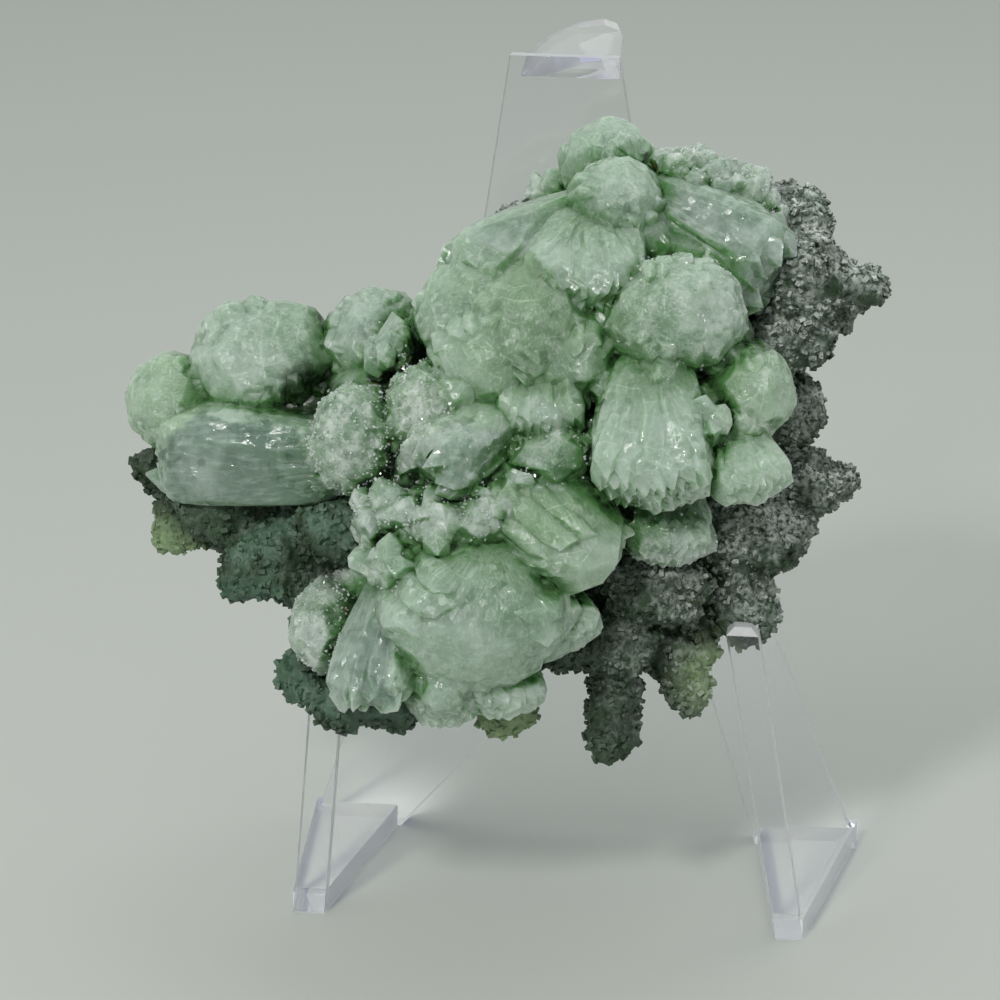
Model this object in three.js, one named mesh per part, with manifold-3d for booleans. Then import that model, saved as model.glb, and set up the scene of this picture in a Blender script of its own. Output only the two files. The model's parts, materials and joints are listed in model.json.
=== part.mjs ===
// Prehnite: a cluster of pale green crystals on a dark grainy rock, resting on a clear stand.
// Millimetres, Z up, the viewer stands at minus Y. The places below were read from the picture by hand.
import * as THREE from "three";
import { ConvexGeometry } from "three/addons/geometries/ConvexGeometry.js";
import { mergeVertices } from "three/addons/utils/BufferGeometryUtils.js";
import Module from "manifold-3d";

const wasm = await Module();
wasm.setup();

// Driving dimensions
const SHIFT = [-1, -15, 0];         // moves the whole set so that its box stands centred on the origin
const GAP = 0.3;                  // room between the crystals and the rock, and between the stone and the stand
const CUT = 0.4;                  // how far a crystal is grown where it cuts the rock
const ROUGH = 0.07;               // unevenness of a dome, as a part of its radius
const ROCK_ROUGH = 0.13;          // unevenness of a rock lump, as a part of its radius
const PLAIN = 0.33;               // edges smaller than this are merged away
const SHEET = 2.5;                // thickness of the stand's clear sheet
const STAND_CENTRE = [9.5, 28, 0]; // middle of the bend where the back plate meets the floor
const STAND_YAW = 7;              // degrees, the stand's right side is nearer to the viewer
const STAND_LEAN = 5;             // degrees, the back plate leans away from the viewer
const LEDGE_DEPTH = 24;           // from the bend to the front of the feet
const PLATE_HEIGHT = 91.5;          // of the back plate, along its lean
const TAB_RISE = 21;              // degrees, the rounded tab at the top over the level

// Domes: name, foot, top, width, height across, number of steps on the rim, turn about its own axis in degrees
const DOMES = [
  ["lower dome", [-4, 0.5, 43], [-1.8, -14.5, 40.5], 19.5, 16.5, 3, 0],
  ["right fan dome", [1, 1, 53], [11, -9, 47.5], 12.5, 11, 1, 30],
  ["pale disc", [18, 8, 69], [18.7, -3.5, 74.5], 14.5, 12, 2, 10],
  ["right disc", [24.5, 7, 63], [27.6, -3.5, 64], 9, 10, 1, 40],
  ["upper left mass", [-1, 10, 68], [-4, 2, 73], 13, 12.5, 1, 15],
  ["lower left mass", [0, 8, 67], [-2.5, -2, 66], 12.5, 12, 1, 60],
  ["middle mass", [2.5, 9, 68], [4, -1.5, 72], 13.5, 12, 1, 80],
  ["right mass", [6.5, 8.5, 68], [8, -1.5, 65], 11.5, 11.5, 1, 25],
  ["upper block", [11.5, 16, 77], [13, 9, 84], 10.5, 9.5, 1, 50],
  ["top ball", [12.5, 21, 79], [10.3, 21, 87.2], 9.5, 9, 1, 0],
  ["glint block", [6, 5, 55], [5, -5, 59], 10.5, 8.5, 1, 20],
  ["broken top", [-6.5, 6, 59], [-8, -2, 64], 9.5, 9, 1, 35],
  ["sparkling ball", [-14, 7, 57], [-16.5, -2.5, 59], 9, 11.5, 2, 0],
  ["left barrel", [-25, 17.5, 61], [-26.2, 7.5, 66], 15.5, 12.5, 2, 20],
  ["left end ball", [-33.5, 16.5, 57], [-37.3, 8.5, 60.5], 9.5, 10, 1, 45],
  ["upper middle dome", [-12.5, 18, 62.5], [-14, 8, 68], 12, 11, 1, 70],
  ["frosted knob", [-17.5, 1, 39.5], [-19.5, -7, 37.5], 7, 8.5, 1, 10],
];

// Fans: name, narrow end, middle of the arc, width of the arc, thickness, number of plates, turn
const FANS = [
  ["centre fan", [16, 3, 67.5], [15.5, -8.5, 56], 13, 9.5, 4, 0],
  ["lower right fan", [22.5, 2, 61.5], [26.5, -6.5, 55.5], 9, 5.5, 3, 10],
  ["upper fan", [10, 14, 80], [8.5, 2, 73.5], 14.5, 7.5, 4, 0],
  ["under fan", [17, 5, 53], [18, -3.5, 47.5], 10, 6, 3, 0],
  ["slope under the mass", [4.5, 7, 68], [4.5, -2, 60], 10, 8, 3, 0],
  ["left ledge", [-5, -1, 36.5], [-6.5, -9.5, 31.5], 7.5, 4.5, 2, 0],
  ["middle ledge", [-1, -2, 38], [1, -9.5, 32.5], 8, 5, 2, 0],
  ["right ledge", [4, 0, 43], [7.5, -7, 39], 8, 5, 2, 20],
];

// Waisted crystals, like half an hourglass: name, waist, flared end, width, thickness, turn, and
// the width at the waist as a part of the full width
const FLARES = [
  ["corner flare", [-11.5, -3.5, 45], [-14, -12.5, 33.5], 9.5, 6, 15, 0.42],
  ["long flare", [-17.5, 5, 55], [-35.3, 10.5, 54], 10.6, 10, 90, 0.85],
  ["shoulder", [16, 15.5, 80], [28, 7, 74.5], 12, 10, 60, 0.6],
  ["left ridge", [11, 16, 78.5], [-4, 8.5, 73.5], 10.5, 9, 40, 0.7],
  ["striated slope", [5, 6, 62.5], [-7, -4, 56.5], 10, 9, 80, 0.7],
];

// Small tablets: name, foot, tip, width, thickness, turn
const TABLETS = [
  ["small knob", [-11, 10, 64], [-11.5, 5, 67.5], 4, 3.5, 20],
  ["tuft one", [-8.5, -1, 48], [-10.5, -6.5, 53.5], 3.6, 3.2, 0],
  ["tuft two", [-7, -1, 48], [-6.5, -8, 52.5], 3.6, 3, 40],
  ["tuft three", [-7.5, -1.5, 47.5], [-12, -8.5, 47], 4, 3.6, 15],
  ["tuft four", [-9.5, 1, 50], [-14, -5, 51], 4, 3.2, 60],
  ["frosty block", [-2, 0, 46], [-3, -7, 53], 7, 5, 10],
  ["frosty block two", [1.5, 1, 49], [1, -6.5, 54.5], 5, 4, 50],
  ["under knob", [15, 4, 53], [12.5, -0.5, 52], 4.2, 3.2, 0],
  ["top knob", [14, 20.5, 78], [15.5, 21, 84], 3.8, 3.6, 0],
  ["frost one", [19.5, 19, 79], [19.5, 15.5, 84.5], 4.4, 4, 10],
  ["frost two", [22, 18.5, 78.5], [23, 14, 83.5], 4.6, 4.2, 45],
  ["frost three", [25, 18, 78], [26, 13.5, 82], 4.2, 3.8, 20],
  ["frost four", [26.5, 17, 77], [28, 13.5, 79.5], 3.8, 3.4, 70],
  ["back crystal", [7, 23, 75], [5, 22.5, 80], 3.4, 3, 0],
  ["right tooth", [20.5, 4, 62], [21, -5.5, 61], 4.4, 4, 30],
];

// The green mass behind the crystals, which joins them: middle and half sizes
const BEDS = [
  [[2, 10, 66], [9, 7, 9]],
  [[-7, 5, 53], [8, 6.5, 9]],
  [[13, 14, 75], [9, 7, 8]],
  [[-22, 13, 57.5], [11, 6, 5]],
  [[16, 8, 61], [8, 6, 8]],
  [[-6, 2, 44.5], [9, 6, 8]],
  [[5, 5, 53], [8, 6, 7]],
  [[-13, 10, 60], [6, 6, 5]],
  [[0, 6, 67.5], [8, 5.5, 7.5]],
  [[21, 7, 67], [6, 4.5, 6]],
  [[-4, 0, 57], [6, 4.5, 5]],
];

// The rock: middle and half sizes of each lump, then of each finger as foot, tip and width
const LUMPS = [
  [[-7, 16, 52], [14, 10, 12]],
  [[9, 21, 61], [14, 10, 13]],
  [[22, 16, 53], [12, 9, 9]],
  [[-23, 15, 50], [12, 8, 8]],
  [[15, 10, 41], [12, 9, 8]],
  [[24, 19, 69], [10, 8, 9]],
  [[-6, 8, 40], [11, 8, 7]],
  [[-18, 6, 40], [6, 6, 6]],
  [[3, 26, 66], [8, 8.5, 9]],
  [[26, 7, 46.5], [9, 7, 6]],
  [[32.5, 10.5, 50], [5.5, 5, 4.5]],
  [[17, 1.5, 41.5], [6.5, 5.5, 4.5]],
  [[12, 3, 35.5], [6.5, 6, 4.5]],
  [[6.5, 2, 35.5], [4.5, 5, 4]],
  [[32, 12, 72.5], [6.5, 6, 6]],
  [[31.5, 18, 77.5], [5, 5, 4]],
  [[31, 9, 75], [3.5, 3.5, 3.5]],
  [[31.5, 11, 66.5], [4.5, 5, 4]],
  [[35.5, 13, 68.5], [3.2, 3.5, 2.8]],
  [[31.5, 12, 57.5], [3.5, 5, 5]],
  [[-30, 11, 47], [7, 6, 6]],
  [[-24, 6.5, 43], [6, 5.5, 5.5]],
  [[-17.5, 4, 47], [5, 5, 5.5]],
  [[-20.5, -2, 32.5], [3.6, 3.6, 3.8]],
  [[-16.5, -5, 31], [4, 4, 3]],
  [[-12, -5.5, 31], [4.2, 4, 2.8]],
  [[-16, 0, 36], [6, 5, 5]],
  [[-17, 20, 67], [6, 5, 4]],
  [[3, 23, 75], [4, 4, 4]],
];
const FINGERS = [
  ["pale finger", [1, 0, 35], [1, -4, 26.5], 7],
  ["low finger", [12.5, 3, 33], [11.5, -1, 22.5], 6],
  ["middle finger", [18, 5, 35], [21, 2.5, 26.5], 5.5],
  ["yellow tipped finger", [21, 6, 38], [23, 4, 31.5], 4],
  ["wide finger", [25, 6, 44], [27.5, 3.5, 34.5], 8],
  ["right tip", [33, 11, 49.5], [39, 13.5, 49.5], 4.5],
  ["east finger", [33, 12.5, 72], [41, 12.5, 71.5], 6],
  ["dark fan", [27, 14, 65], [29.5, 6, 67.5], 6],
  ["west knob", [-33, 13, 50], [-39.5, 14, 51], 4.5],
  ["yellow west finger", [-34.5, 13, 50], [-36, 11, 42], 5],
  ["lower west finger", [-27, 8, 44], [-28.5, 7, 38], 5],
];

// A repeatable run of numbers between 0 and 1
function dice(seed) {
  let state = seed * 7919 + 17;
  return () => {
    state = (state * 16807) % 2147483647;
    return state / 2147483647;
  };
}

// The directions of a crystal: along it, across its width, across its thickness
function axesOf(foot, tip, turn) {
  const along = new THREE.Vector3(...tip).sub(new THREE.Vector3(...foot));
  const length = along.length();
  along.normalize();
  const up = Math.abs(along.z) > 0.93 ? new THREE.Vector3(0, 1, 0) : new THREE.Vector3(0, 0, 1);
  const wide = new THREE.Vector3().crossVectors(along, up).normalize();
  wide.applyAxisAngle(along, THREE.MathUtils.degToRad(turn));
  const thick = new THREE.Vector3().crossVectors(along, wide).normalize();
  return { foot: new THREE.Vector3(...foot), along, wide, thick, length };
}

function place(axes, a, w, t) {
  return axes.foot.clone().addScaledVector(axes.along, a).addScaledVector(axes.wide, w).addScaledVector(axes.thick, t);
}

// A closed solid from the outermost of the given points
function hullOf(points) {
  const shape = new ConvexGeometry(points);
  shape.deleteAttribute("normal");
  shape.deleteAttribute("uv");
  return solidOf(mergeVertices(shape, 1e-4));
}

function solidOf(geometry) {
  const vertProperties = new Float32Array(geometry.attributes.position.array);
  const triVerts = new Uint32Array(geometry.index.array);
  return new wasm.Manifold(new wasm.Mesh({ numProp: 3, vertProperties, triVerts }));
}

// An uneven round body; level rings of points from the pole to the foot
function domeBody(axes, width, height, grow, roll) {
  const points = [];
  const rings = [[0.06, 1], [0.55, 5], [1.02, 6], [1.55, 6]];
  for (const [bow, count] of rings) {
    const start = roll() * Math.PI;
    for (let i = 0; i < count; i += 1) {
      const round = start + (i * 2 * Math.PI) / count;
      const r = 1 + ROUGH * (2 * roll() - 1);
      const a = axes.length * 0.42 + (axes.length * 0.58 + grow) * Math.cos(bow) * r;
      const w = (width / 2 + grow) * Math.sin(bow) * Math.cos(round) * r;
      const t = (height / 2 + grow) * Math.sin(bow) * Math.sin(round) * r;
      points.push(place(axes, a, w, t));
    }
  }
  points.push(place(axes, -grow, width * 0.16, 0), place(axes, -grow, -width * 0.16, 0));
  points.push(place(axes, -grow, 0, height * 0.16), place(axes, -grow, 0, -height * 0.16));
  return hullOf(points);
}

// One thick plate of a fan: narrow at its foot, with a round bevelled arc
function wedge(axes, width, thickness, grow) {
  const points = [];
  const w = width / 2 + grow;
  const t = thickness / 2 + grow;
  const l = axes.length + grow;
  for (const side of [-1, 1]) {
    points.push(place(axes, -grow, side * w * 0.2, t * 0.5), place(axes, -grow, side * w * 0.2, -t * 0.5));
    points.push(place(axes, l * 0.62, side * w * 0.92, t * 0.75), place(axes, l * 0.62, side * w * 0.92, -t * 0.75));
    points.push(place(axes, l * 0.86, side * w, t * 0.3), place(axes, l * 0.86, side * w, -t * 0.3));
    points.push(place(axes, l, side * w * 0.45, t * 0.35), place(axes, l, side * w * 0.45, -t * 0.35));
  }
  points.push(place(axes, l * 0.78, 0, t), place(axes, l * 0.78, 0, -t));
  return hullOf(points);
}

// A flat crystal with a bevelled end, narrower at its foot
function tablet(axes, width, thickness, grow) {
  const points = [];
  const w = width / 2 + grow;
  const t = thickness / 2 + grow;
  const l = axes.length + grow;
  for (const side of [-1, 1]) {
    for (const face of [-1, 1]) {
      points.push(place(axes, -grow, side * w * 0.55, face * t * 0.7));
      points.push(place(axes, l * 0.72, side * w, face * t * 0.8));
      points.push(place(axes, l * 0.9, side * w * 0.8, face * t));
    }
    points.push(place(axes, l, side * w * 0.55, t * 0.35));
    points.push(place(axes, l, side * w * 0.55, -t * 0.35));
  }
  return hullOf(points);
}

function dome([, foot, tip, width, height, steps, turn], grow, seed) {
  const roll = dice(seed);
  const axes = axesOf(foot, tip, turn);
  const parts = [domeBody(axes, width, height, grow, roll)];
  // Plates that stand out of the rim as steps
  for (let i = 0; i < steps; i += 1) {
    const round = ((i + 0.3 * roll()) * 2 * Math.PI) / steps;
    const reach = 0.49 + 0.07 * roll();
    const level = 0.5 + 0.28 * roll();
    const end = place(axes, axes.length * level, width * reach * Math.cos(round), height * reach * Math.sin(round));
    const start = place(axes, axes.length * 0.15, 0, 0);
    const plate = axesOf(start.toArray(), end.toArray(), 0);
    plate.thick.copy(axes.along).addScaledVector(plate.along, -axes.along.dot(plate.along)).normalize();
    plate.wide.crossVectors(plate.thick, plate.along).normalize();
    parts.push(tablet(plate, width * (0.42 + 0.16 * roll()), axes.length * (0.17 + 0.08 * roll()), grow));
  }
  return parts;
}

function fan([, foot, tip, width, thickness, plates, turn], grow, seed) {
  const roll = dice(seed);
  const axes = axesOf(foot, tip, turn);
  const spread = Math.atan2(width / 2, axes.length);
  const parts = [];
  for (let i = 0; i < plates; i += 1) {
    const lean = spread * ((2 * i) / (plates - 1) - 1) * 0.66;
    const blade = { ...axes, foot: axes.foot.clone() };
    blade.along = axes.along.clone().applyAxisAngle(axes.thick, lean);
    blade.wide = axes.wide.clone().applyAxisAngle(axes.thick, lean);
    blade.length = axes.length * (1 - 0.12 * Math.abs(lean) + 0.07 * (roll() - 0.5));
    blade.foot.addScaledVector(axes.thick, thickness * 0.12 * (roll() - 0.5));
    parts.push(wedge(blade, width * (0.66 - 0.06 * plates), thickness * (0.85 + 0.25 * roll()), grow));
  }
  return parts;
}

// A waist that widens in two stages to a nearly flat, round-edged end
function flare([, foot, tip, width, thickness, turn, narrow], grow) {
  const axes = axesOf(foot, tip, turn);
  const middle = narrow + (1 - narrow) * 0.4;
  const stages = [[-0.05, narrow], [0.45, narrow], [0.8, middle], [0.95, 1], [1.03, 0.74]];
  const parts = [];
  for (let k = 0; k < stages.length - 2; k += 1) {
    const last = k === stages.length - 3 ? 3 : 2;
    const points = [];
    for (const [at, part] of stages.slice(k, k + last)) {
      for (let i = 0; i < 8; i += 1) {
        const round = (i * Math.PI) / 4;
        const w = ((width / 2) * part + grow) * Math.cos(round);
        const t = ((thickness / 2) * part + grow) * Math.sin(round);
        points.push(place(axes, axes.length * at + (at > 1 ? grow : 0), w, t));
      }
    }
    parts.push(hullOf(points));
  }
  return parts;
}

function small([, foot, tip, width, thickness, turn], grow) {
  return [tablet(axesOf(foot, tip, turn), width, thickness, grow)];
}

// An uneven lump round a middle
function lump(middle, sizes, grow, seed, rough) {
  const roll = dice(seed);
  const points = [];
  const count = 15;
  for (let i = 0; i < count; i += 1) {
    const z = 1 - (2 * i + 1) / count;
    const flat = Math.sqrt(1 - z * z);
    const round = i * 2.399963;
    const r = 1 + rough * (2 * roll() - 1);
    const x = middle[0] + (sizes[0] + grow) * flat * Math.cos(round) * r;
    const y = middle[1] + (sizes[1] + grow) * flat * Math.sin(round) * r;
    points.push(new THREE.Vector3(x, y, middle[2] + (sizes[2] + grow) * z * r));
  }
  return hullOf(points);
}

// A stubby rock finger, thickest before its blunt end
function finger([, foot, tip, width], seed) {
  const roll = dice(seed);
  const axes = axesOf(foot, tip, 0);
  const points = [];
  for (const [at, part] of [[-0.2, 0.95], [0.45, 1.05], [0.85, 0.9], [1, 0.45]]) {
    const start = roll() * Math.PI;
    for (let i = 0; i < 5; i += 1) {
      const round = start + (i * 2 * Math.PI) / 5;
      const r = (width / 2) * part * (1 + ROCK_ROUGH * (2 * roll() - 1));
      points.push(place(axes, axes.length * at, r * Math.cos(round), r * Math.sin(round)));
    }
  }
  return hullOf(points);
}

function fuse(parts) {
  return parts.reduce((sum, part) => sum.add(part));
}

// The largest connected body: leaves out hidden hollows and loose crumbs
function largest(solid) {
  return solid.decompose().sort((a, b) => b.volume() - a.volume())[0];
}

function crystals(grow) {
  const parts = [];
  DOMES.forEach((entry, i) => parts.push(...dome(entry, grow, 11 + i)));
  FANS.forEach((entry, i) => parts.push(...fan(entry, grow, 101 + i)));
  FLARES.forEach((entry) => parts.push(...flare(entry, grow)));
  TABLETS.forEach((entry) => parts.push(...small(entry, grow)));
  BEDS.forEach(([middle, sizes], i) => parts.push(lump(middle, sizes, grow, 201 + i, ROUGH)));
  return fuse(parts);
}

function rock() {
  const parts = LUMPS.map(([middle, sizes], i) => lump(middle, sizes, 0, 301 + i, ROCK_ROUGH));
  FINGERS.forEach((entry, i) => parts.push(finger(entry, 401 + i)));
  return fuse(parts);
}

// The stand's own directions: along its bend to the right, forward to the viewer, up the leaning plate
const yaw = THREE.MathUtils.degToRad(STAND_YAW);
const lean = THREE.MathUtils.degToRad(STAND_LEAN);
const RIGHT = new THREE.Vector3(Math.cos(yaw), -Math.sin(yaw), 0);
const BACK = new THREE.Vector3(Math.sin(yaw), Math.cos(yaw), 0);
const UP = new THREE.Vector3(0, 0, 1);
const PLATE_UP = BACK.clone().multiplyScalar(Math.sin(lean)).addScaledVector(UP, Math.cos(lean));
const PLATE_BACK = BACK.clone().multiplyScalar(Math.cos(lean)).addScaledVector(UP, -Math.sin(lean));

// Outline of the back plate, as distance along the bend and height up the plate; the notch is open at the floor
const PLATE = [[-31.5, 0], [-14.5, 57], [-9.5, PLATE_HEIGHT], [2.7, PLATE_HEIGHT], [8.8, 57.5], [32.2, 0]];
const NOTCH = [[-21.3, -3], [-21.3, 0], [9.4, 34.5], [20.4, 0], [20.4, -3]];
const LEFT_LEDGE = [[-31.5, -SHEET], [-21.3, -SHEET], [-26.5, LEDGE_DEPTH], [-30, LEDGE_DEPTH]];
const RIGHT_LEDGE = [[20.4, -SHEET], [32.2, -SHEET], [27, LEDGE_DEPTH], [24, LEDGE_DEPTH]];
const TAB = [[-9.5, 0], [-5, 6.6], [-2.3, 8.9], [0.2, 9.6], [1.8, 8.7], [2.6, 6], [2.7, 0]];
const PRONGS = [
  [[-30, -26.5], [-26.6, -23.2], 33.5],
  [[24, 27], [18, 21.4], 37],
];

// A slab from an outline: origin, its two directions in the sheet and the direction of its thickness
function slab(outline, origin, across, up, through, thickness) {
  const shape = new THREE.Shape(outline.map(([x, y]) => new THREE.Vector2(x, y)));
  const body = new THREE.ExtrudeGeometry(shape, { depth: thickness, bevelEnabled: false });
  body.deleteAttribute("normal");
  body.deleteAttribute("uv");
  const turn = new THREE.Matrix4().makeBasis(across, up, through).setPosition(origin);
  body.applyMatrix4(turn);
  const solid = mergeVertices(body, 1e-4);
  if (turn.determinant() < 0) {
    const index = solid.index.array;
    for (let i = 0; i < index.length; i += 3) {
      [index[i], index[i + 1]] = [index[i + 1], index[i]];
    }
  }
  return solidOf(solid);
}

function stand(grow) {
  const origin = new THREE.Vector3(...STAND_CENTRE);
  const thickness = SHEET + 2 * grow;
  const front = origin.clone().addScaledVector(PLATE_BACK, -grow);
  const plate = slab(PLATE, front, RIGHT, PLATE_UP, PLATE_BACK, thickness);
  const below = origin.clone().addScaledVector(PLATE_BACK, -grow - 1);
  const notch = slab(NOTCH, below, RIGHT, PLATE_UP, PLATE_BACK, thickness + 2);
  const parts = [plate.subtract(notch)];
  const forward = BACK.clone().negate();
  for (const ledge of [LEFT_LEDGE, RIGHT_LEDGE]) {
    parts.push(slab(ledge, origin.clone().addScaledVector(UP, -grow), RIGHT, forward, UP, thickness));
  }
  const bend = origin.clone().addScaledVector(PLATE_UP, PLATE_HEIGHT - SHEET * 0.4);
  const rise = THREE.MathUtils.degToRad(TAB_RISE);
  const tabOut = BACK.clone().multiplyScalar(Math.cos(rise)).addScaledVector(UP, Math.sin(rise));
  const tabDown = BACK.clone().multiplyScalar(Math.sin(rise)).addScaledVector(UP, -Math.cos(rise));
  parts.push(slab(TAB, bend, RIGHT, tabOut, tabDown, thickness));
  // Each prong rises from the front of its ledge, leans a little forward and inward
  for (const [feet, tops, height] of PRONGS) {
    const points = [];
    for (const [pair, z, ahead] of [[feet, -grow, 0], [tops, height, 3]]) {
      for (const s of [pair[0] - grow, pair[1] + grow]) {
        for (const depth of [-grow, SHEET + grow]) {
          const out = LEDGE_DEPTH - SHEET + ahead + depth;
          points.push(origin.clone().addScaledVector(RIGHT, s).addScaledVector(forward, out).addScaledVector(UP, z));
        }
      }
    }
    for (const s of [tops[0] + 0.8, tops[1] - 0.8]) {
      for (const depth of [0.5, SHEET - 0.5]) {
        const out = LEDGE_DEPTH - SHEET + 3.1 + depth;
        const z = height + 0.9 + grow;
        points.push(origin.clone().addScaledVector(RIGHT, s).addScaledVector(forward, out).addScaledVector(UP, z));
      }
    }
    parts.push(hullOf(points));
  }
  // Everything under the floor is cut away
  const floor = slab([[-60, -60], [60, -60], [60, 60], [-60, 60]], new THREE.Vector3(0, 0, -10),
    new THREE.Vector3(1, 0, 0), new THREE.Vector3(0, 1, 0), UP, 10);
  const body = fuse(parts);
  return grow > 0 ? body : body.subtract(floor);
}

function meshOf(name, solid, color, settings) {
  const { vertProperties, triVerts, numProp } = solid.getMesh();
  const position = new Float32Array((vertProperties.length / numProp) * 3);
  for (let i = 0; i < position.length / 3; i += 1) {
    for (let k = 0; k < 3; k += 1) {
      position[3 * i + k] = vertProperties[numProp * i + k] + SHIFT[k];
    }
  }
  const geometry = new THREE.BufferGeometry();
  geometry.setAttribute("position", new THREE.BufferAttribute(position, 3));
  geometry.setIndex(new THREE.BufferAttribute(new Uint32Array(triVerts), 1));
  geometry.computeVertexNormals();
  const mesh = new THREE.Mesh(geometry, new THREE.MeshStandardMaterial({ color, ...settings }));
  mesh.name = name;
  return mesh;
}

const room = stand(GAP);
const green = largest(crystals(0).subtract(room).simplify(PLAIN));
const dark = largest(rock().subtract(crystals(CUT)).subtract(room).simplify(PLAIN));

const group = new THREE.Group();
group.name = "prehnite_on_stand";
group.add(meshOf("prehnite", green, 0x9fc49a, { roughness: 0.35 }));
group.add(meshOf("matrix", dark, 0x55645a, { roughness: 0.8 }));
group.add(meshOf("stand", stand(0), 0xdde4e4, { roughness: 0.05, transparent: true, opacity: 0.35 }));

export default group;
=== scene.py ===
"""Prehnite on a clear stand.

Green crystals fused in one cluster, dark grainy rock behind them, and the bent clear sheet that holds them.
"""

import json
import math
import random

import bmesh
import bpy
import numpy as np
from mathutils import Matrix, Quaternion, Vector
from mathutils.bvhtree import BVHTree

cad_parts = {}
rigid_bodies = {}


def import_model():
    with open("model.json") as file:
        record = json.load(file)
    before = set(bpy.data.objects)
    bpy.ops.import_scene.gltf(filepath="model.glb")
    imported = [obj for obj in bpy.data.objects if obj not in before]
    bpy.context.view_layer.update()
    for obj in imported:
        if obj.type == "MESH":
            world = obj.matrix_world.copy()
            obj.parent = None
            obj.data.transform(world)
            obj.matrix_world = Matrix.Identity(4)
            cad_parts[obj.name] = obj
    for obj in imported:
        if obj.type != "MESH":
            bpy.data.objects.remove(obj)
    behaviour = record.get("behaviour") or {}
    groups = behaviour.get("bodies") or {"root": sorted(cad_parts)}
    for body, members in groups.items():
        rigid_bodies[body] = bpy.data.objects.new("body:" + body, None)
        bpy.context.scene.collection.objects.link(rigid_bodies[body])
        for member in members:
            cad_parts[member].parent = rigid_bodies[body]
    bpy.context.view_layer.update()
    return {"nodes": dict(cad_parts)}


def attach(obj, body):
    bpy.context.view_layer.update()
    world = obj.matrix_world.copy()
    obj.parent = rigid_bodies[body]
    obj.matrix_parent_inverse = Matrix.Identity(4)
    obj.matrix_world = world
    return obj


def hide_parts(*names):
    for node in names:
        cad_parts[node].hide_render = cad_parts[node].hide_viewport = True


bl_info = {
    "name": "Prehnite on a clear stand",
    "version": (1, 0, 0),
    "blender": (4, 5, 0),
    "location": "3D View > Sidebar > Prehnite",
    "description": "Builds a prehnite cluster on its rock and clear display stand",
    "category": "Add Mesh",
}

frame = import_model()

MM = 0.001
SHIFT = Vector((-1.0, -15.0, 0.0))  # from the design's millimetres to the frame's, as in the part's source
GOLDEN = 2.399963
TRUNK = Vector((3, 6, 72))  # the middle that the crystals grew from
HOLLOW = Vector((-20.5, 0, 61))  # the opening on the left stays free; the crystals' material paints shade into it

# Domes: name, foot, top, width, height across, turn, blue-grey from 0 to 1, white frost from 0 to 1
DOMES = [
    ("lower dome", (-4, 0.5, 43), (-1.8, -14.5, 40.5), 19.5, 16.5, 0, 0.1, 0.15),
    ("right fan dome", (1, 1, 53), (11, -9, 47.5), 12.5, 11, 30, 0.0, 0.1),
    ("pale disc", (18, 8, 69), (18.7, -3.5, 74.5), 14.5, 12, 10, 0.0, 0.45),
    ("right disc", (24.5, 7, 63), (27.6, -3.5, 64), 9, 10, 40, 0.0, 0.3),
    ("upper left mass", (-1, 10, 68), (-4, 2, 73), 13, 12.5, 15, 0.1, 0.1),
    ("lower left mass", (0, 8, 67), (-2.5, -2, 66), 12.5, 12, 60, 0.0, 0.1),
    ("middle mass", (2.5, 9, 68), (4, -1.5, 72), 13.5, 12, 80, 0.1, 0.15),
    ("right mass", (6.5, 8.5, 68), (8, -1.5, 65), 11.5, 11.5, 25, 0.0, 0.1),
    ("upper block", (11.5, 16, 77), (13, 9, 84), 10.5, 9.5, 50, 0.15, 0.25),
    ("top ball", (12.5, 21, 79), (10.3, 21, 87.2), 9.5, 9, 0, 0.0, 0.05),
    ("glint block", (6, 5, 55), (5, -5, 59), 10.5, 8.5, 20, 0.1, 0.5),
    ("broken top", (-6.5, 6, 59), (-8, -2, 64), 9.5, 9, 35, 0.2, 0.9),
    ("sparkling ball", (-14, 7, 57), (-16.5, -2.5, 59), 9, 11.5, 0, 0.3, 0.8),
    ("left barrel", (-25, 17.5, 61), (-26.2, 7.5, 66), 15.5, 12.5, 20, 0.0, 0.3),
    ("left end ball", (-33.5, 16.5, 57), (-37.3, 8.5, 60.5), 9.5, 10, 45, 0.0, 0.05),
    ("upper middle dome", (-12.5, 18, 62.5), (-14, 8, 68), 12, 11, 70, 0.5, 0.3),
    ("frosted knob", (-17.5, 1, 39.5), (-19.5, -7, 37.5), 7, 8.5, 10, 0.5, 0.8),
]

# Fans: name, narrow end, middle of the arc, width of the arc, thickness, plates, turn, blue-grey, white frost
FANS = [
    ("centre fan", (16, 3, 67.5), (15.5, -8.5, 56), 13, 9.5, 4, 0, 0.0, 0.15),
    ("lower right fan", (22.5, 2, 61.5), (26.5, -6.5, 55.5), 9, 5.5, 3, 10, 0.0, 0.1),
    ("upper fan", (10, 14, 80), (8.5, 2, 73.5), 14.5, 7.5, 4, 0, 0.35, 0.05),
    ("under fan", (17, 5, 53), (18, -3.5, 47.5), 10, 6, 3, 0, 0.2, 0.5),
    ("slope under the mass", (4.5, 7, 68), (4.5, -2, 60), 10, 8, 3, 0, 0.1, 0.1),
    ("left ledge", (-5, -1, 36.5), (-6.5, -9.5, 31.5), 7.5, 4.5, 2, 0, 0.1, 0.2),
    ("middle ledge", (-1, -2, 38), (1, -9.5, 32.5), 8, 5, 2, 0, 0.0, 0.2),
    ("right ledge", (4, 0, 43), (7.5, -7, 39), 8, 5, 2, 20, 0.0, 0.1),
]

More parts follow.
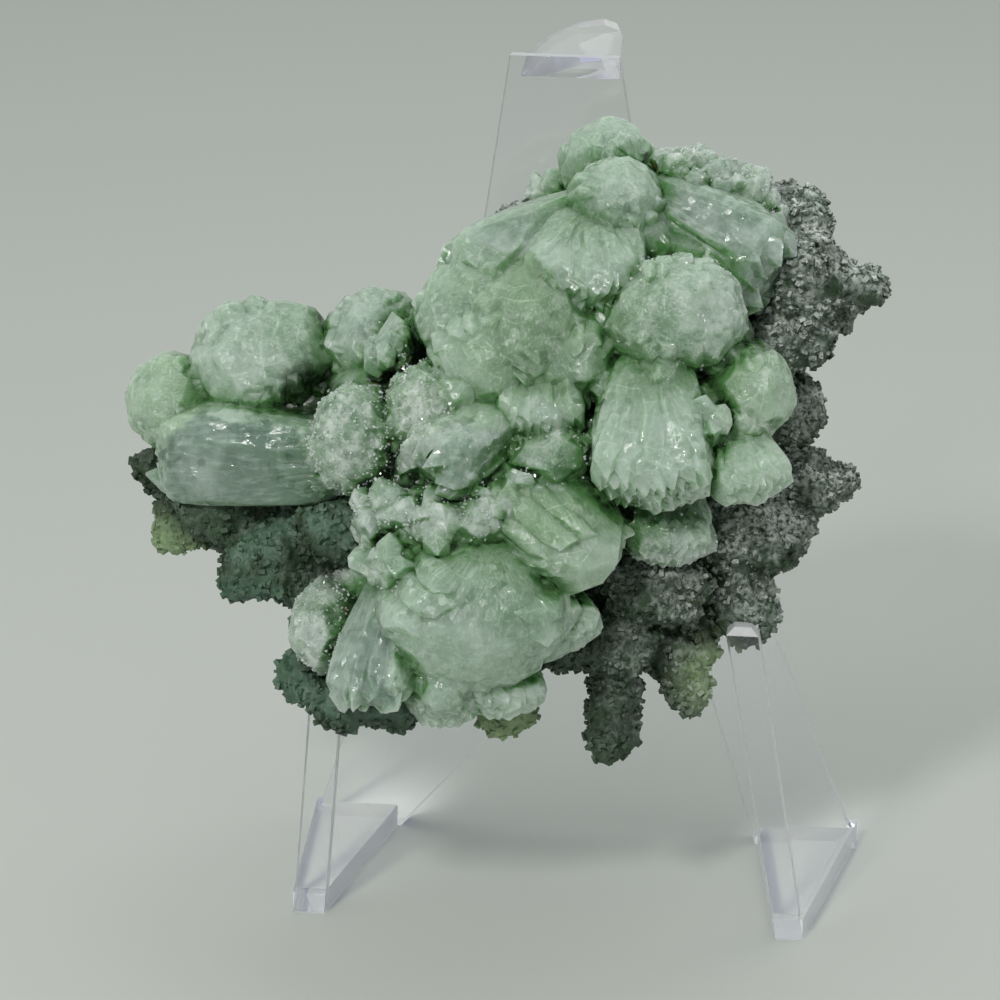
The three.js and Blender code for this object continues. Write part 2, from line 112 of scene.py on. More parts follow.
# Waisted crystals: name, waist, flared end, width, thickness, turn, the waist's width as a part of the width,
# blue-grey, white frost
FLARES = [
    ("corner flare", (-11.5, -3.5, 45), (-13.8, -12, 34.7), 9.5, 6, 15, 0.42, 1.0, 0.1),
    ("long flare", (-17.5, 5, 55), (-35.3, 10.5, 54), 10.6, 10, 90, 0.85, 0.9, 0.05),
    ("shoulder", (16, 15.5, 80), (28, 7, 74.5), 12, 10, 60, 0.6, 0.9, 0.3),
    ("left ridge", (11, 16, 78.5), (-4, 8.5, 73.5), 10.5, 9, 40, 0.7, 0.7, 0.15),
    ("striated slope", (5, 6, 62.5), (-7, -4, 56.5), 10, 9, 80, 0.7, 0.6, 0.45),
]

# Small tablets: name, foot, tip, width, thickness, turn, blue-grey, white frost
TABLETS = [
    ("small knob", (-11, 10, 64), (-11.5, 5, 67.5), 4, 3.5, 20, 0.2, 0.5),
    ("tuft one", (-8.5, -1, 48), (-10.5, -6.5, 53.5), 5.2, 4.4, 0, 0.3, 0.6),
    ("tuft two", (-7, -1, 48), (-6.5, -8, 52.5), 5.4, 4.4, 40, 0.3, 0.6),
    ("tuft three", (-7.5, -1.5, 47.5), (-12, -8.5, 47), 5.6, 4.8, 15, 0.3, 0.6),
    ("tuft four", (-9.5, 1, 50), (-14, -5, 51), 5.2, 4.4, 60, 0.3, 0.5),
    ("frosty block", (-2, 0, 46), (-3, -7, 53), 7, 5, 10, 0.1, 0.9),
    ("frosty block two", (1.5, 1, 49), (1, -6.5, 54.5), 5, 4, 50, 0.2, 0.7),
    ("under knob", (15, 4, 53), (12.5, -0.5, 52), 4.2, 3.2, 0, 0.2, 0.3),
    ("top knob", (14, 20.5, 78), (15.5, 21, 84), 3.8, 3.6, 0, 0.0, 0.1),
    ("frost one", (19.5, 19, 79), (19.5, 15.5, 84.5), 5.4, 5, 10, 0.2, 0.9),
    ("frost two", (22, 18.5, 78.5), (23, 14, 83.5), 5.6, 5, 45, 0.2, 0.9),
    ("frost three", (25, 18, 78), (26, 13.5, 82), 5.2, 4.6, 20, 0.2, 0.8),
    ("frost four", (26.5, 17, 77), (28, 13.5, 79.5), 4.6, 4.2, 70, 0.2, 0.8),
    ("back crystal", (7, 23, 75), (5, 22.5, 80), 3.4, 3, 0, 0.2, 0.5),
    ("right tooth", (20.5, 4, 62), (21, -5.5, 61), 4.4, 4, 30, 0.0, 0.3),
]

# The green mass behind the crystals: middle and half sizes
BEDS = [
    ((2, 10, 66), (9, 7, 9)),
    ((-7, 5, 53), (8, 6.5, 9)),
    ((13, 14, 75), (9, 7, 8)),
    ((-22, 13, 57.5), (11, 6, 5)),
    ((16, 8, 61), (8, 6, 8)),
    ((-6, 2, 44.5), (9, 6, 8)),
    ((5, 5, 53), (8, 6, 7)),
    ((-13, 10, 60), (6, 6, 5)),
    ((0, 6, 67.5), (8, 5.5, 7.5)),
    ((21, 7, 67), (6, 4.5, 6)),
    ((-4, 0, 57), (6, 4.5, 5)),
    ((-14.5, 1.5, 41), (4, 3.5, 3.5)),
]

# Yellow-green finger tips of the rock
TIPS = [(23, 4, 31), (-36, 11, 42), (1, -4, 27)]

# Fine forms of the surfaces and the scattered crystals: heights in metres, scales in waves per metre,
# layers in millimetres, smallest and largest as parts of GRAIN, density per square metre
LAYER = 1.7
CRYSTAL_SURFACE = {"Step height": 0.00004, "Step scale": 600.0, "Line height": 0.00009, "Line scale": 14.0,
                   "Layer height": 0.00005, "Layer length": LAYER,
                   "Fine height": 0.00003, "Fine scale": 1500.0}
ROCK_SURFACE = {"Lump height": 0.0007, "Lump scale": 340.0, "Grain height": 0.00022, "Grain scale": 1300.0}
GRAIN = 0.48
FROST = {"Density": 4000000.0, "Smallest": 0.2, "Largest": 0.6, "Seed": 8}
ROCK_GRAINS = {"Smallest": 0.5, "Largest": 1.8, "Seed": 3}
LONGEST_EDGE = 0.8  # of the crystals' mesh
EDGE_WIDTH = 2.8  # the cut edges of the sheet are narrower than this, its other faces wider

# Colours that the panel doesn't list
YELLOW_GREEN = (0.25, 0.38, 0.19, 1)
# Painted shade towards the foot of each crystal
FOOT_SHADE_GREEN = (0.095, 0.205, 0.080, 1)
LAYER_WHITE = (0.60, 0.68, 0.60, 1)
MILK = (0.52, 0.60, 0.55, 1)
FROST_WHITE = (0.66, 0.71, 0.67, 1)
FROST_PALE = (0.62, 0.68, 0.64, 1)
# Painted light on the thin rims
PAINTED_RIM_LIGHT = (0.50, 0.66, 0.47, 1)
# Painted shade, nearly black, in the deepest crevices
DARKEST_CREVICE_SHADE = (0.008, 0.026, 0.006, 1)
# Painted shade in the dark opening on the left
HOLLOW_SHADE = (0.006, 0.028, 0.004, 1)
BROWN = (0.12, 0.095, 0.03, 1)
TEAL = (0.085, 0.165, 0.105, 1)
TIP_GREEN = (0.24, 0.34, 0.17, 1)
# Pale sugar grains, laid on more where light is painted
SUGAR_AND_TOP_LIGHT = (0.68, 0.73, 0.69, 1)
# Painted shade in the rock's crevices
ROCK_CREVICE_SHADE = (0.006, 0.024, 0.005, 1)
SHADOW = (0.90, 0.91, 0.92, 1)
SOAKED = (0.86, 0.87, 0.93, 1)
FLOOR = (0.54, 0.56, 0.52, 1)
CRYSTAL_IOR = 1.6
SHEET_IOR = 1.49
GLINTS = "Small glinting faces"

# The stage: the floor's height, the lights with place, size, power and colour, and the point that they aim at
FLOOR_TOP = -0.0001
LIGHTS = (("Key", (-0.16, -0.36, 0.36), 0.06, 1.1, (1.0, 0.99, 0.97)),
          ("Top", (0.10, 0.15, 0.50), 0.40, 0.5, (0.95, 1.0, 1.0)))
LIT_POINT = Vector((0, 0, 0.05))

# The photo's width in pixels and its pixels per millimetre, and the camera's distance, rise, aim and sensor
PHOTO_WIDTH = 1000
PHOTO_SCALE = 9.5
CAMERA_AWAY = 380
CAMERA_RISE = math.radians(20)
AIM = Vector((0, 0, 52))
SENSOR = 36

# Outline of the plug behind a dome: across its width and its height, as parts of their halves
SECTION = [(1, 0.25), (0.72, 1), (-0.72, 1), (-1, 0.25), (-1, -0.25), (-0.72, -1), (0.72, -1), (1, -0.25)]


class Axes:
    """A crystal's directions: along it, across its width, across its thickness. Lengths in millimetres."""

    def __init__(self, foot, tip, turn=0.0):
        self.foot = Vector(foot)
        self.along = Vector(tip) - self.foot
        self.length = self.along.length
        self.along.normalize()
        up = Vector((0, 1, 0)) if abs(self.along.z) > 0.93 else Vector((0, 0, 1))
        self.wide = self.along.cross(up).normalized()
        self.wide.rotate(Quaternion(self.along, math.radians(turn)))
        self.thick = self.along.cross(self.wide).normalized()

    def at(self, a, w, t):
        return self.foot + self.along * a + self.wide * w + self.thick * t

    def facing(self, normal):
        """Turns the thickness towards the given direction."""
        self.thick = (normal - self.along * normal.dot(self.along)).normalized()
        self.wide = self.thick.cross(self.along).normalized()
        return self


def closed(rings):
    """Vertices and faces of a closed body from rings of points, in order from its foot to its tip."""
    count = len(rings[0])
    points = [p for ring in rings for p in ring]
    faces = [tuple(reversed(range(count)))]
    for k in range(len(rings) - 1):
        for i in range(count):
            j = (i + 1) % count
            faces.append((k * count + i, k * count + j, (k + 1) * count + j, (k + 1) * count + i))
    faces.append(tuple(range((len(rings) - 1) * count, len(rings) * count)))
    return points, faces


def cut_body(axes, width, height, roll, facets=60, square=1.8, narrow=1.0, middle=0.42, jitter=0.02):
    """A rounded body cut by flat facets.

    Square is 2 for an ellipsoid and lower for a body with edges. Narrow is the width of its foot as a part of
    the whole, middle is where along the axes its middle lies, and jitter is how uneven the facets are.
    """
    work = bmesh.new()
    for i in range(facets):
        x = 1 - (2 * i + 1) / facets
        flat = math.sqrt(1 - x * x)
        spin = i * GOLDEN + roll.uniform(-0.4, 0.4)
        along = x + roll.uniform(-0.08, 0.08)
        way = Vector((along, flat * math.cos(spin), flat * math.sin(spin))).normalized()
        away = sum(abs(c) ** square for c in way) ** (1 / square)
        work.verts.new(way / (away * (1 + jitter * roll.uniform(-1, 1))))
    bmesh.ops.convex_hull(work, input=work.verts)
    bmesh.ops.recalc_face_normals(work, faces=work.faces)
    work.faces.index_update()
    # Each face of the hull gives the body a corner, each corner of the hull a facet, walked round in order
    corners = [f.normal / f.normal.dot(f.verts[0].co) for f in work.faces]
    faces = []
    for v in work.verts:
        if not v.link_faces:
            continue
        loop, ring = v.link_loops[0], []
        while loop.face.index not in ring:
            ring.append(loop.face.index)
            loop = loop.link_loop_prev.link_loop_radial_next
        faces.append(tuple(ring))
    work.free()
    points = []
    for c in corners:
        part = narrow + (1 - narrow) * min(1.0, max(0.0, (c.x + 1) / 2))
        along = axes.length * (middle + (1 - middle) * c.x)
        points.append(axes.at(along, width / 2 * c.y * part, height / 2 * c.z * part))
    return points, faces


def foot_plug(axes, width, height):
    """Joins a rounded core to the mass behind it."""
    rings = []
    for a, part in ((-0.05, 0.3), (0.3, 0.72)):
        spots = [(axes.length * a, x * width / 2 * part, y * height / 2 * part) for x, y in SECTION]
        rings.append([axes.at(*spot) for spot in spots])
    return closed(rings)


def dome_parts(entry, seed, facet):
    """A dome: a faceted core and blades that spread from its inner side and end in a scalloped rim."""
    _, foot, tip, width, height, turn, *_ = entry
    roll = random.Random(seed)
    axes = Axes(foot, tip)
    facets = int(9 * width * height / (facet * facet) / 4)
    core = Axes(foot, Vector(foot).lerp(Vector(tip), 0.99), turn)
    parts = [cut_body(core, width * 0.98, height * 0.98, roll, facets), foot_plug(axes, width, height)]
    middle = axes.at(axes.length * 0.42, 0, 0)
    inward = TRUNK - middle
    inward = (inward - axes.along * inward.dot(axes.along)).normalized()
    size = Vector((width / 2, height / 2))
    start = middle + inward * min(size) * 0.5
    across = axes.along.cross(inward).normalized()
    blades = int(8 + size.x * 0.5)
    half = axes.length * 0.58
    for i in range(blades):
        lean = math.radians(-105 + 210 * (i + 0.5 + roll.uniform(-0.2, 0.2)) / blades)
        way = across * math.sin(lean) - inward * math.cos(lean)
        x, z = way.dot(axes.wide) / size.x, way.dot(axes.thick) / size.y
        u, w = (start - middle).dot(axes.wide) / size.x, (start - middle).dot(axes.thick) / size.y
        a, b, c = x * x + z * z, u * x + w * z, u * u + w * w - 1
        reach = (-b + math.sqrt(b * b - a * c)) / a * roll.uniform(0.98, 1.02)
        rim = start + way * reach - axes.along * half * roll.uniform(0.02, 0.2)
        blade = Axes(start - axes.along * half * 0.1, rim)
        blade.facing(axes.along)
        wide, thick = reach * roll.uniform(0.5, 0.68), half * roll.uniform(1.78, 1.9)
        parts.append(cut_body(blade, wide, thick, roll, facets=80, square=1.55, narrow=0.85, middle=0.5))
    return parts


def fan_parts(entry, seed):
    """A fan: overlapping blades that share a narrow end, with a scalloped arc."""
    _, foot, tip, width, thickness, plates, turn, *_ = entry
    roll = random.Random(seed)
    axes = Axes(foot, tip, turn)
    spread = math.atan2(width / 2, axes.length)
    parts = [cut_body(axes, width, thickness * 0.96, roll, facets=110, square=1.35, narrow=0.66, middle=0.5,
                      jitter=0.01)]
    across = plates * 2 + 3
    for row in range(2):
        for i in range(across):
            lean = spread * (2 * (i + 0.5 * row + 0.25) / across - 1) * 0.85
            blade = Axes(foot, tip, turn)
            for direction in (blade.along, blade.wide, blade.thick):
                direction.rotate(Quaternion(axes.thick, lean))
            side = blade.wide.copy()
            tilt = (row - 0.5) * math.atan2(thickness * 0.3, axes.length)
            blade.along.rotate(Quaternion(side, tilt))
            blade.thick.rotate(Quaternion(side, tilt))
            blade.length = axes.length * (1.01 - 0.1 * abs(lean) + 0.012 * roll.uniform(-1, 1))
            wide, thick = width / across * roll.uniform(2.8, 3.8), thickness * roll.uniform(0.68, 0.76)
            parts.append(cut_body(blade, wide, thick, roll, facets=56, square=1.3, narrow=0.62, middle=0.5))
    return parts


def flare_parts(entry, seed):
    """A waisted crystal: long blades side by side, narrow at the waist, with uneven ends."""
    _, foot, tip, width, thickness, turn, narrow, *_ = entry
    roll = random.Random(seed)
    axes = Axes(foot, tip, turn)
    parts = [cut_body(axes, width * 0.99, thickness * 0.99, roll, facets=110, square=1.2, narrow=narrow,
                      middle=0.5, jitter=0.012)]
    count = 11
    for i in range(count):
        spin = i * 2 * math.pi / count + roll.uniform(-0.15, 0.15)
        x, z = width * 0.3 * math.cos(spin), thickness * 0.3 * math.sin(spin)
        start = axes.at(-0.04 * axes.length, x * narrow, z * narrow)
        end = axes.at(axes.length * roll.uniform(0.93, 1.03), x, z)
        blade = Axes(start, end).facing(axes.wide * math.cos(spin) + axes.thick * math.sin(spin))
        wide = (width + thickness) * roll.uniform(0.13, 0.19)
        thick = (width + thickness) * 0.19
        parts.append(cut_body(blade, wide, thick, roll, facets=46, square=1.25, narrow=narrow, middle=0.5))
    return parts


def tablet_parts(entry, seed):
    """A tight cluster of small blocky crystals."""
    _, foot, tip, width, thickness, turn, *_ = entry
    roll = random.Random(seed)
    axes = Axes(foot, tip, turn)
    parts = [cut_body(axes, width, thickness, roll, facets=26, square=1.3, narrow=0.9, middle=0.4,
                      jitter=0.03)]
    for i in range(9):
        spin = i * GOLDEN
        out = 0.5 * math.sqrt((i + 1) / 9)
        along = axes.length * roll.uniform(0.6, 0.95)
        spot = axes.at(along, width * out * math.cos(spin), thickness * out * math.sin(spin))
        way = Vector([roll.gauss(0, 1) for _ in range(3)]).normalized() * roll.uniform(0.9, 1.6)
        blade = Axes(spot - way, spot + way, roll.uniform(0, 90))
        wide, thick = roll.uniform(1.8, 3.0), roll.uniform(1.2, 2.2)
        parts.append(cut_body(blade, wide, thick, roll, facets=18, square=1.12, middle=0.5, jitter=0.03))
    return parts


def filler_parts(seed):
    """Small crystals in the creases where neighbouring domes and fans meet."""
    roll = random.Random(seed)
    bodies = [(Vector(e[1]).lerp(Vector(e[2]), 0.5), (e[3] + e[4]) / 4) for e in DOMES + FANS]
    parts = []
    for i, (here, r) in enumerate(bodies):
        for there, s in bodies[i + 1:]:
            line = there - here
            gap = line.length
            if gap > (r + s) * 1.2 or gap < (r + s) * 0.66:
                continue
            share = min(0.8, max(0.2, 0.5 + (r * r - s * s) / (2 * gap * gap)))
            place = here + line * share
            out = math.sqrt(max(r * r - (share * gap) ** 2, 0.04 * r * r))
            line.normalize()
            front = Vector((0, -1, 0)) - line * line.dot(Vector((0, -1, 0)))
            if front.length < 0.2:
                continue
            front.normalize()
            for step in range(-1, 2):
                way = front.copy()
                way.rotate(Quaternion(line, math.radians(42 * step + roll.uniform(-12, 12))))
                spot = place + way * out
                if (Vector((spot.x, 0, spot.z)) - HOLLOW).length < 4.5 or spot.z < 33:
                    continue
                if any((spot - c).length < q * 0.72 for c, q in bodies):
                    continue
                for _ in range(2):
                    wide = roll.uniform(3.6, 6.2)
                    aside = line * roll.uniform(-1.6, 1.6)
                    tip = spot + aside + way * roll.uniform(-0.4, 0.9)
                    axes = Axes(spot - way * 3.6, tip, roll.uniform(0, 180))
                    thick = wide * roll.uniform(0.55, 0.8)
                    parts.append(cut_body(axes, wide, thick, roll, facets=40, square=1.35, narrow=0.75,
                                          middle=0.5, jitter=0.03))
    return parts


def lump(middle, sizes, roll, rough=0.05):
    """An uneven ellipsoid."""
    count = 90
    work = bmesh.new()
    for i in range(count):
        z = 1 - (2 * i + 1) / count
        flat = math.sqrt(1 - z * z)
        r = 1 + rough * roll.uniform(-1, 1)
        way = (flat * math.cos(i * GOLDEN), flat * math.sin(i * GOLDEN), z)
        work.verts.new([m + s * w * r for m, s, w in zip(middle, sizes, way)])
    inside = bmesh.ops.convex_hull(work, input=work.verts)["geom_interior"]
    lost = [g for g in inside if isinstance(g, bmesh.types.BMVert)]
    bmesh.ops.delete(work, geom=lost, context="VERTS")
    work.verts.index_update()
    result = [v.co.copy() for v in work.verts], [tuple(v.index for v in f.verts) for f in work.faces]
    work.free()
    return result


def plain_mesh(name, points, faces):
    """A mesh in the frame's metres from points in the design's millimetres."""
    mesh = bpy.data.meshes.new(name)
    mesh.from_pydata([(Vector(p) + SHIFT) * MM for p in points], [], faces)
    mesh.validate()
    return mesh


def add_object(name, data):
    found = bpy.data.objects.new(name, data)
    data.name = name
    bpy.context.scene.collection.objects.link(found)
    return found


def merged_copy(name, node, flat=None):
    """A copy of a CAD solid, its triangles joined. Flat is the angle up to which faces are merged."""
    piece = add_object(name, frame["nodes"][node].data.copy())
    work = bmesh.new()
    work.from_mesh(piece.data)
    bmesh.ops.remove_doubles(work, verts=work.verts, dist=1e-6)
    if flat is not None:
        bmesh.ops.dissolve_limit(work, angle_limit=flat, verts=work.verts, edges=work.edges)
    work.to_mesh(piece.data)
    work.free()
    return piece


def plain_result(body):
    """The plain mesh that an object's modifiers make. The modifiers are taken off."""
    graph = bpy.context.evaluated_depsgraph_get()
    mesh = bpy.data.meshes.new_from_object(body.evaluated_get(graph))
    body.modifiers.clear()
    return mesh


def union_of(name, parts):
    """One closed body from overlapping closed parts."""
    pool = bpy.data.collections.new(name + " parts")
    for points, faces in parts[1:]:
        pool.objects.link(bpy.data.objects.new(name + " part", plain_mesh(name + " part", points, faces)))
    body = add_object(name, plain_mesh(name, *parts[0]))
    change = body.modifiers.new("union", "BOOLEAN")
    change.operation = "UNION"
    change.operand_type = "COLLECTION"
    change.collection = pool
    change.solver = "MANIFOLD"
    old = body.data
    body.data = plain_result(body)
    bpy.data.meshes.remove(old)
    for extra in list(pool.objects):
        held = extra.data
        bpy.data.objects.remove(extra)
        bpy.data.meshes.remove(held)
    bpy.data.collections.remove(pool)
    return body


def finer_faces(mesh, longest):
    """Splits long edges, so that the surface can carry fine detail while its edges stay crisp."""
    work = bmesh.new()
    work.from_mesh(mesh)
    for _ in range(3):
        long_edges = [e for e in work.edges if e.calc_length() > longest * MM]
        if not long_edges:
            break
        bmesh.ops.subdivide_edges(work, edges=long_edges, cuts=1)
        bmesh.ops.triangulate(work, faces=[f for f in work.faces if len(f.verts) > 3])
    work.to_mesh(mesh)
    work.free()


def keep_largest(mesh):
    """Drops hidden hollows and loose crumbs that a union can leave."""
    work = bmesh.new()
    work.from_mesh(mesh)
    work.verts.ensure_lookup_table()
    seen, groups = set(), []
    for start in work.verts:
        if start.index in seen:
            continue
        group, queue = [], [start]
        seen.add(start.index)
        while queue:
            v = queue.pop()
            group.append(v)
            for e in v.link_edges:
                other = e.other_vert(v)
                if other.index not in seen:
                    seen.add(other.index)
                    queue.append(other)
        groups.append(group)
    groups.sort(key=len, reverse=True)
    for group in groups[1:]:
        bmesh.ops.delete(work, geom=group, context="VERTS")
    bmesh.ops.triangulate(work, faces=work.faces)
    bmesh.ops.dissolve_degenerate(work, dist=0.02 * MM, edges=work.edges)
    bmesh.ops.triangulate(work, faces=work.faces)
    work.to_mesh(mesh)
    work.free()


def square_to(n):
    """Two directions square to the given one and to each other."""
    side = Vector((1, 0, 0)) if abs(n.x) < 0.8 else Vector((0, 1, 0))
    a = n.cross(side).normalized()
    return a, n.cross(a)


def depth_in_crevices(mesh, reach, rays=14):
    """For each vertex, from 0 in the open to 1 where every way out is blocked within reach. The materials
    paint shade by it.
    """
    tree = BVHTree.FromPolygons([v.co for v in mesh.vertices], [tuple(p.vertices) for p in mesh.polygons])
    fan = []
    for i in range(rays):
        z = 1 - 0.85 * (i + 0.5) / rays
        flat = math.sqrt(1 - z * z)
        fan.append((flat * math.cos(i * GOLDEN), flat * math.sin(i * GOLDEN), z))
    result = np.zeros(len(mesh.vertices), dtype=np.float32)
    for k, v in enumerate(mesh.vertices):
        n = v.normal
        a, b = square_to(n)
        start = v.co + n * 0.0006
        blocked = 0.0
        for x, y, z in fan:
            hit = tree.ray_cast(start, a * x + b * y + n * z, reach)
            if hit[0] is not None:
                blocked += 1.0 - 0.5 * hit[3] / reach
        result[k] = blocked / rays
    return result


def store(mesh, name, values, kind="FLOAT"):
    """Keeps one value for each vertex of a mesh."""
    layer = mesh.attributes.new(name, kind, "POINT")
    held = "vector" if kind == "FLOAT_VECTOR" else "value"
    layer.data.foreach_set(held, np.ascontiguousarray(values, dtype=np.float32).ravel())


def describe_crystals(mesh):
    """Stores what each vertex has from its crystal: way and distance from where it grew, and its tints."""
    where = np.empty(len(mesh.vertices) * 3, dtype=np.float64)
    mesh.vertices.foreach_get("co", where)
    where = where.reshape(-1, 3) / MM - np.array(SHIFT)
    rows = []
    for group in (DOMES, FANS, FLARES, TABLETS):
        for entry in group:
            foot, tip = Vector(entry[1]), Vector(entry[2])
            start = foot
            if group is DOMES:
                middle = foot.lerp(tip, 0.42)
                inward = TRUNK - middle
                inward.y = 0
                start = middle + inward.normalized() * entry[4] * 0.52 + Vector((0, -1.5, 0))
            if group is FLARES:
                start = foot - (tip - foot) * 0.5
            rows.append((foot, tip, start, (entry[3] + entry[4]) / 4, entry[-2], entry[-1]))
    feet, tips, starts = (np.array([tuple(row[k]) for row in rows]) for k in range(3))
    sizes, blue, frost = (np.array([row[k] for row in rows]) for k in range(3, 6))
    along = tips - feet
    length = np.linalg.norm(along, axis=1)
    best = np.full(len(where), 1e9)
    which = np.zeros(len(where), dtype=int)
    for k in range(len(rows)):
        rel = where - feet[k]
        u = np.clip(rel @ along[k] / length[k] ** 2, 0.25, 0.8)
        gap = np.linalg.norm(rel - u[:, None] * along[k], axis=1) / sizes[k]
        better = gap < best
        best[better] = gap[better]
        which[better] = k
    rel = where - starts[which]
    far = np.linalg.norm(rel, axis=1)
    longest = np.ones(len(rows))
    for k in range(len(rows)):
        if (which == k).any():
            longest[k] = np.percentile(far[which == k], 97)
    store(mesh, "flow", rel / np.maximum(far, 1e-6)[:, None] + which[:, None] * 3.7, "FLOAT_VECTOR")
    store(mesh, "span", far)
    store(mesh, "reach", far / longest[which])
    store(mesh, "blue", blue[which])
    store(mesh, "frost", frost[which])
    store(mesh, "tint", np.random.RandomState(5).uniform(-1, 1, len(rows))[which])


class NodeMaker:
    """Short helpers to fill a node tree."""

    def __init__(self, tree):
        self.tree = tree
        self.column = 0

    def add(self, kind, inputs=None, **values):
        """A new node. An input, by its name or number, is a value or the output of another node."""
        node = self.tree.nodes.new(kind)
        self.column += 1
        node.location = (self.column * 60 - 1200, 200 - (self.column % 7) * 120)
        for key, value in values.items():
            setattr(node, key, value)
        return self.fill(node, inputs or {})

    def fill(self, node, inputs):
        for key, value in inputs.items():
            if hasattr(value, "is_output"):
                self.tree.links.new(value, node.inputs[key])
            else:
                node.inputs[key].default_value = value
        return node

    def math(self, operation, a, b=0.0):
        return self.add("ShaderNodeMath", {0: a, 1: b}, operation=operation).outputs[0]

    def times(self, a, b):
        return self.math("MULTIPLY", a, b)

    def plus(self, a, b):
        return self.math("ADD", a, b)

    def vector(self, operation, a, b=(0, 0, 0)):
        """Arithmetic on vectors; to scale, b is a number."""
        second = "Scale" if operation == "SCALE" else 1
        return self.add("ShaderNodeVectorMath", {0: a, second: b}, operation=operation).outputs[0]

    def parts(self, vector):
        """The X, Y and Z of a vector."""
        return self.add("ShaderNodeSeparateXYZ", {0: vector}).outputs

    def place(self):
        return self.add("ShaderNodeTexCoord").outputs["Object"]

    def away(self, place, point):
        """How far a place is, in metres, from a point that is given in the design's millimetres."""
        inputs = {0: place, 1: (Vector(point) + SHIFT) * MM}
        return self.add("ShaderNodeVectorMath", inputs, operation="DISTANCE").outputs["Value"]

    def mix(self, amount, below, above):
        """One colour laid over another."""
        return self.add("ShaderNodeMix", {0: amount, 6: below, 7: above}, data_type="RGBA").outputs[2]

    def ramp(self, value, low, high, to_low=0.0, to_high=1.0):
        """Leads from one number to another while the value goes from low to high."""
        inputs = {0: value, 1: low, 2: high, 3: to_low, 4: to_high}
        return self.add("ShaderNodeMapRange", inputs, clamp=True).outputs[0]

    def attribute(self, name, output="Fac"):
        """An attribute of the mesh, for a material."""
        return self.add("ShaderNodeAttribute", attribute_name=name).outputs[output]

    def stored(self, name, kind="FLOAT"):
        """An attribute of the mesh, for a geometry tree."""
        return self.add("GeometryNodeInputNamedAttribute", {"Name": name}, data_type=kind).outputs[0]

    def noise(self, vector, scale, detail=3.0, rough=0.55):
        inputs = {"Vector": vector, "Scale": scale, "Detail": detail, "Roughness": rough}
        return self.add("ShaderNodeTexNoise", inputs).outputs["Fac"]

    def cells(self, vector, scale):
        """One random colour for each cell."""
        return self.add("ShaderNodeTexVoronoi", {"Vector": vector, "Scale": scale}).outputs["Color"]


def glint_group():
    """Tilts the normal a little, cell by cell, so that small faces catch the light on their own."""
    tree = bpy.data.node_groups.new(GLINTS, "ShaderNodeTree")
    face = tree.interface
    for name, value in (("Scale", 1500.0), ("Amount", 0.3)):
        face.new_socket(name, in_out="INPUT", socket_type="NodeSocketFloat").default_value = value
    face.new_socket("Normal", in_out="OUTPUT", socket_type="NodeSocketVector")
    make = NodeMaker(tree)
    given = make.add("NodeGroupInput").outputs
    centred = make.vector("SUBTRACT", make.cells(make.place(), given["Scale"]), (0.5, 0.5, 0.5))
    tilt = make.vector("SCALE", centred, given["Amount"])
    normal = make.add("ShaderNodeNewGeometry").outputs["Normal"]
    unit = make.vector("NORMALIZE", make.vector("ADD", normal, tilt))
    make.add("NodeGroupOutput", {"Normal": unit})
    return tree


def start_material(name):
    """A material, a maker for its nodes, and its Principled shader and output."""
    material = bpy.data.materials.new(name)
    material.use_nodes = True
    material.node_tree.nodes.clear()
    make = NodeMaker(material.node_tree)
    shader = make.add("ShaderNodeBsdfPrincipled")
    out = make.add("ShaderNodeOutputMaterial", {"Surface": shader.outputs[0]})
    return material, make, shader, out


def add_relief(make, shader, height, strength, distance, scale, amount):
    """A bump on glinting cells; scale and amount are for the cells."""
    group = bpy.data.node_groups.get(GLINTS) or glint_group()
    glint = make.add("ShaderNodeGroup", {"Scale": scale, "Amount": amount}, node_tree=group)
    inputs = {"Strength": strength, "Distance": distance, "Height": height, "Normal": glint.outputs[0]}
    make.fill(shader, {"Normal": make.add("ShaderNodeBump", inputs).outputs[0]})


